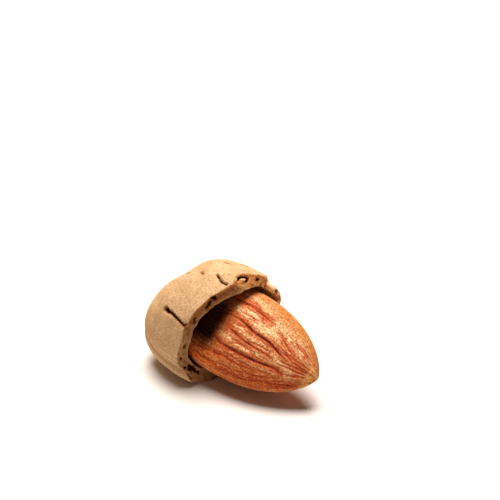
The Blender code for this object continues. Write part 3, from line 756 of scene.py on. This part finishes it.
def makeKernelSkin():
    material, tree, shader = newMaterial("kernelSkin", 0.60)
    place = addNode(tree, "ShaderNodeTexCoord").outputs["Object"]
    skin = attribute(tree, "skinPlace")["Vector"]
    parts = addNode(tree, "ShaderNodeSeparateXYZ", {0: skin}).outputs

    def stretched(along, across):
        # the skin's own place, drawn out along the kernel
        return addNode(
            tree, "ShaderNodeVectorMath", {0: skin, 1: (along, across, across)}, operation="MULTIPLY"
        ).outputs[0]

    def times(*values):
        total = values[0]
        for value in values[1:]:
            total = calculate(tree, "MULTIPLY", total, value)
        return total

    def centred(value, gain):
        return times(calculate(tree, "SUBTRACT", value, 0.5), gain)

    streaks = ramp(tree, cloud(tree, stretched(0.24, 11.0), 1.0, 4.0, 0.65), 0.38, 0.60)
    mottle = cloud(tree, stretched(0.80, 7.5), 1.0, 5.0, 0.72)
    grain = cloud(tree, stretched(3.0, 20.0), 1.0, 3.0, 0.7)
    patches = cloud(tree, stretched(0.33, 3.2), 1.0, 3.0, 0.6)
    middle = ramp(tree, calculate(tree, "ABSOLUTE", parts[2]), 0.45, 0.90)
    under = ramp(tree, parts[1], -0.20, -0.70)
    beside = attribute(tree, "grooveHalo")["Fac"]
    ridge = ramp(tree, calculate(tree, "ADD", beside, centred(patches, 1.2)), 0.95, 0.15)
    flecks = ramp(tree, calculate(tree, "ADD", mottle, centred(grain, 0.80)), 0.40, 0.53)
    base = mixColour(tree, under, kernelColours["orange"], kernelColours["lower"])
    paleness = times(
        calculate(tree, "ADD", 0.22, times(flecks, 0.86)),
        calculate(tree, "ADD", 0.60, times(streaks, 0.40)), calculate(tree, "ADD", 0.22, times(ridge, 0.98)),
        calculate(tree, "SUBTRACT", calculate(tree, "ADD", 0.52, times(middle, 1.1)), times(under, 0.62)),
        ramp(tree, parts[0], -1.5, 3.0, 0.35, 1.0), ramp(tree, parts[0], 12.6, 10.4, 0.35, 1.0),
    )
    # painted light: a brighter, more saturated red on the lower side near the base, where the skin lies in shade
    vividPaintedLight = times(ramp(tree, parts[0], 3.5, -1.0), under)
    base = mixColour(tree, times(vividPaintedLight, 0.80), base, kernelColours["vividPaintedLight"])
    colour = mixColour(tree, paleness, base, kernelColours["ridge"])
    lowStreaks = times(ramp(tree, cloud(tree, stretched(0.30, 8.0), 1.0, 4.0, 0.7), 0.52, 0.64), under)
    colour = mixColour(tree, times(lowStreaks, 0.85), colour, kernelColours["band"])
    # reddish network between the pale flecks
    bent = addNode(
        tree, "ShaderNodeVectorMath",
        {0: stretched(0.75, 8.0), 1: addNode(
            tree, "ShaderNodeTexNoise", {"Vector": stretched(1.2, 9.0), "Scale": 1.0, "Detail": 2.0}
        ).outputs["Color"]},
        operation="ADD",
    ).outputs[0]
    cells = addNode(
        tree, "ShaderNodeTexVoronoi", {"Vector": bent, "Scale": 1.35, "Randomness": 1.0},
        feature="DISTANCE_TO_EDGE",
    ).outputs["Distance"]
    netLines = times(ramp(tree, cells, 0.13, 0.01), ramp(tree, mottle, 0.36, 0.52))
    colour = mixColour(tree, times(netLines, 0.56), colour, kernelColours["network"])
    blotches = ramp(tree, cloud(tree, stretched(0.5, 5.0), 1.0, 4.0, 0.7), 0.54, 0.66)
    colour = mixColour(tree, times(blotches, 0.48), colour, kernelColours["network"])
    dots = ramp(tree, cloud(tree, stretched(1.5, 13.0), 1.0, 2.0, 0.6), 0.56, 0.63)
    colour = mixColour(tree, times(dots, 0.68), colour, kernelColours["network"])
    crumbs = times(ramp(tree, cloud(tree, stretched(2.2, 16.0), 1.0, 2.0, 0.6), 0.53, 0.64), under)
    colour = mixColour(tree, times(crumbs, 0.60), colour, kernelColours["crumb"])
    goldPlace = calculate(tree, "SUBTRACT", parts[1], ramp(tree, parts[0], 6.0, 1.0, 0.0, 0.24))
    goldPlace = calculate(tree, "ADD", goldPlace, centred(mottle, 0.7))
    gold = times(ramp(tree, goldPlace, 0.52, 0.80), ramp(tree, flecks, 0.0, 1.0, 0.94, 0.55))
    colour = mixColour(tree, gold, colour, kernelColours["gold"])
    goldGrain = times(ramp(tree, grain, 0.52, 0.66), gold)
    colour = mixColour(tree, times(goldGrain, 0.45), colour, kernelColours["network"])
    # painted highlight: a pale line along the kernel's lower edge, standing in for light bounced up from the floor
    rim = times(ramp(tree, parts[1], -0.90, -0.985), ramp(tree, grain, 0.58, 0.44, 0.15, 0.95))
    colour = mixColour(tree, rim, colour, kernelColours["edge"])
    tip = times(ramp(tree, parts[0], 10.6, 13.4), ramp(tree, parts[1], 0.70, 0.15), ramp(tree, mottle, 0.35, 0.60))
    colour = mixColour(tree, times(tip, 0.60), colour, kernelColours["tip"])
    point = times(ramp(tree, parts[0], 12.8, 13.9), ramp(tree, parts[1], 0.65, 0.15), ramp(tree, mottle, 0.62, 0.44))
    colour = mixColour(tree, times(point, 0.80), colour, kernelColours["point"])
    # wrinkles: a soft red band with a thin dark core
    groove = attribute(tree, "groove")["Fac"]
    band = ramp(tree, calculate(tree, "ADD", groove, centred(grain, 0.25)), 0.0, 0.22)
    colour = mixColour(tree, times(band, 0.84), colour, kernelColours["band"])
    broken = ramp(tree, cloud(tree, stretched(0.6, 2.5), 1.0, 2.0), 0.34, 0.54, 0.55, 1.0)
    core = times(ramp(tree, calculate(tree, "ADD", groove, centred(grain, 0.20)), 0.21, 0.48), broken)
    colour = mixColour(tree, times(core, 0.92), colour, kernelColours["core"])
    fine = ramp(tree, calculate(tree, "ADD", attribute(tree, "fineGroove")["Fac"], centred(grain, 0.5)), 0.12, 0.62)
    colour = mixColour(tree, times(fine, 0.75), colour, kernelColours["band"])
    # painted shade: the skin is darkened where it goes down into the shell, through a dusky red-brown to near black,
    # standing in for the shell's shadow on it
    sideways = ramp(tree, calculate(tree, "ABSOLUTE", calculate(tree, "ADD", parts[1], 0.05)), 0.82, 0.30)
    paintedShade = times(ramp(tree, calculate(tree, "ADD", parts[0], centred(patches, 1.2)), -0.1, -2.1), sideways)
    paintedShadeEdge = times(ramp(tree, calculate(tree, "ADD", parts[0], centred(patches, 1.2)), 1.8, -0.8), sideways)
    colour = mixColour(tree, times(paintedShadeEdge, 0.66), colour, kernelColours["paintedShadeEdge"])
    colour = mixColour(tree, times(paintedShade, 0.96), colour, kernelColours["paintedShade"])
    colour, speck = speckle(tree, place, colour, 3600.0, 2.1)
    tree.links.new(colour, shader.inputs["Base Color"])
    relief = calculate(tree, "ADD", times(speck, 0.45), times(ramp(tree, cells, 0.0, 0.22), 0.30))
    relief = calculate(tree, "ADD", relief, times(flecks, 0.25))
    bump = addNode(tree, "ShaderNodeBump", {"Height": relief, "Strength": 0.6, "Distance": 0.12 * mm})
    tree.links.new(bump.outputs[0], shader.inputs["Normal"])
    shader.inputs["Specular IOR Level"].default_value = 0.12
    return material


# ---- make the two pieces
shellWood, kernelSkin = makeShellWood(), makeKernelSkin()
sizes = shellSizes
shell = closedGrid("shellBody", sizes["columns"], sizes["outerRows"] + sizes["breakRows"] + sizes["innerRows"], shellPlace)
print("shell grid made")
kernel = closedGrid("kernelBody", kernelSizes["columns"], kernelSizes["rows"], kernelPlace)
print("kernel grid made")

plugCentre, plugAxes = breakFrame()
plugMark = shell.data.attributes.new("plug", "FLOAT", "POINT")
for order, vertex in enumerate(shell.data.vertices):
    gap = vertex.co - plugCentre
    if gap.length < 1.5 * mm:
        flat = plugAxes.transposed() @ gap / mm
        distance = math.hypot(flat.x / plugPit["halfWidth"], flat.y / plugPit["halfHeight"])
        plugMark.data[order].value = between(0.72 - distance, 0.0, 0.3)

sink(shell, lineObject("pitLines", pitLines(surfaceOf(shell))), shellWood, "sunk", "halo", 0.6, 1.0, 0.22, 0.42)
rng = random.Random(fineWrinkles["seed"])
mainLines = [
    wrinkleLine(places, width * kernelSizes["wrinkleWidth"], depth * kernelSizes["wrinkleDepth"], rng)
    for width, depth, places in mainWrinkles
]
sink(kernel, lineObject("mainLines", mainLines), kernelSkin, "groove", "grooveHalo", 1.0, 2.2, 0.85, 0.34)
sink(kernel, lineObject("fineLines", shortWrinkles(rng)), kernelSkin, "fineGroove", "fineHalo", 1.0, 1.2, 0.2, 0.09)
print("pits and wrinkles sunk")

shellTurn = Euler((math.radians(lie["shellLean"]), math.radians(lie["shellDroop"]), 0.0)).to_matrix()
kernelTurn = (
    Matrix.Rotation(math.radians(lie["kernelTurn"]), 3, "Z")
    @ Matrix.Rotation(math.radians(lie["kernelDroop"]), 3, "Y")
    @ Matrix.Rotation(math.radians(lie["kernelLean"]), 3, "X")
)
shell.data.transform(shellTurn.to_4x4())
kernel.data.transform(Matrix.Translation(Vector(lie["kernelSeat"]) * mm) @ kernelTurn.to_4x4())
everyPoint = [v.co for piece in (shell, kernel) for v in piece.data.vertices]
shift = Vector((
    -(min(p.x for p in everyPoint) + max(p.x for p in everyPoint)) / 2,
    -(min(p.y for p in everyPoint) + max(p.y for p in everyPoint)) / 2,
    -min(v.co.z for v in shell.data.vertices) - lie["restFlatDepth"] * mm,
))
for piece in (shell, kernel):
    piece.data.transform(Matrix.Translation(shift))
for vertex in shell.data.vertices:
    vertex.co.z = max(0.0, vertex.co.z)  # the small flat that the nut rests on
for piece, node, slot in ((shell, "shell", "shell_wood"), (kernel, "kernel", "kernel_skin")):
    piece.data.update()
    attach(piece, "root")
    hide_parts(node)
    print(piece.name, len(piece.data.polygons), "faces")

# ---- camera, floor and light
picture = {"azimuth": 34.0, "elevation": 36.0, "pixelsPerMm": 6.8, "distance": 0.36, "centre": (231.0, 325.0)}
azimuth, elevation = math.radians(picture["azimuth"]), math.radians(picture["elevation"])
right = Vector((math.cos(azimuth), math.sin(azimuth), 0.0))
ahead = Vector((-math.sin(azimuth) * math.cos(elevation), math.cos(azimuth) * math.cos(elevation), -math.sin(elevation)))
above = right.cross(ahead)
seen = [v.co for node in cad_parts.values() for v in node.data.vertices]
acrossPicture, upPicture = [p.dot(right) for p in seen], [p.dot(above) for p in seen]
pixel = mm / picture["pixelsPerMm"]
aim = right * ((min(acrossPicture) + max(acrossPicture)) / 2 + (250 - picture["centre"][0]) * pixel)
aim += above * ((min(upPicture) + max(upPicture)) / 2 - (250 - picture["centre"][1]) * pixel)
aim += ahead * (sum(p.dot(ahead) for p in seen) / len(seen))
cameraData = bpy.data.cameras.new("camera")
camera = bpy.data.objects.new("camera", cameraData)
bpy.context.scene.collection.objects.link(camera)
camera.matrix_world = Matrix.Translation(aim - ahead * picture["distance"]) @ Matrix((right, above, -ahead)).transposed().to_4x4()
cameraData.sensor_width = 36.0
cameraData.lens = 36.0 * picture["distance"] / (500 * pixel)
cameraData.clip_start = 0.01
bpy.context.scene.camera = camera

floorMesh = bpy.data.meshes.new("floor")
floorMesh.from_pydata([(-2, -2, 0), (2, -2, 0), (2, 2, 0), (-2, 2, 0)], [], [(0, 1, 2, 3)])
floor = bpy.data.objects.new("floor", floorMesh)
bpy.context.scene.collection.objects.link(floor)
floorPaint, floorTree, floorShader = newMaterial("floorPaint", 0.9)
floorShader.inputs["Base Color"].default_value = (0.74, 0.685, 0.645, 1.0)
floorMesh.materials.append(floorPaint)

studio = {
    "keyFrom": (0.02, 0.37, 0.90), "keyStrength": 6.45, "keySpread": 38.0, "keyColour": (1.0, 0.985, 0.96),
    "fillStrength": 0.145, "fillColour": (1.0, 0.67, 0.49),
}
# the key light comes from above, a little from behind and from the picture's left
fromLeft, fromBehind, fromAbove = studio["keyFrom"]
keyData = bpy.data.lights.new("key", "SUN")
keyData.energy = studio["keyStrength"]
keyData.angle = math.radians(studio["keySpread"])
keyData.color = studio["keyColour"]
key = bpy.data.objects.new("key", keyData)
bpy.context.scene.collection.objects.link(key)
towardsLight = -right * fromLeft + Vector((ahead.x, ahead.y, 0.0)).normalized() * fromBehind
towardsLight.z = fromAbove
key.rotation_euler = towardsLight.to_track_quat("Z", "Y").to_euler()
key.location = towardsLight * 0.4
world = bpy.data.worlds.new("studio")
world.use_nodes = True
sky = world.node_tree
sky.nodes.clear()
fill = addNode(sky, "ShaderNodeBackground", {"Color": (*studio["fillColour"], 1.0), "Strength": studio["fillStrength"]})
backdrop = addNode(sky, "ShaderNodeBackground", {"Color": (1.0, 1.0, 1.0, 1.0), "Strength": 1.0})
seenDirectly = addNode(sky, "ShaderNodeLightPath").outputs["Is Camera Ray"]
blend = addNode(sky, "ShaderNodeMixShader", {0: seenDirectly, 1: fill.outputs[0], 2: backdrop.outputs[0]})
addNode(sky, "ShaderNodeOutputWorld", {0: blend.outputs[0]})
bpy.context.scene.world = world
bpy.context.scene.view_settings.view_transform = "Standard"
print("camera, floor and lights placed")
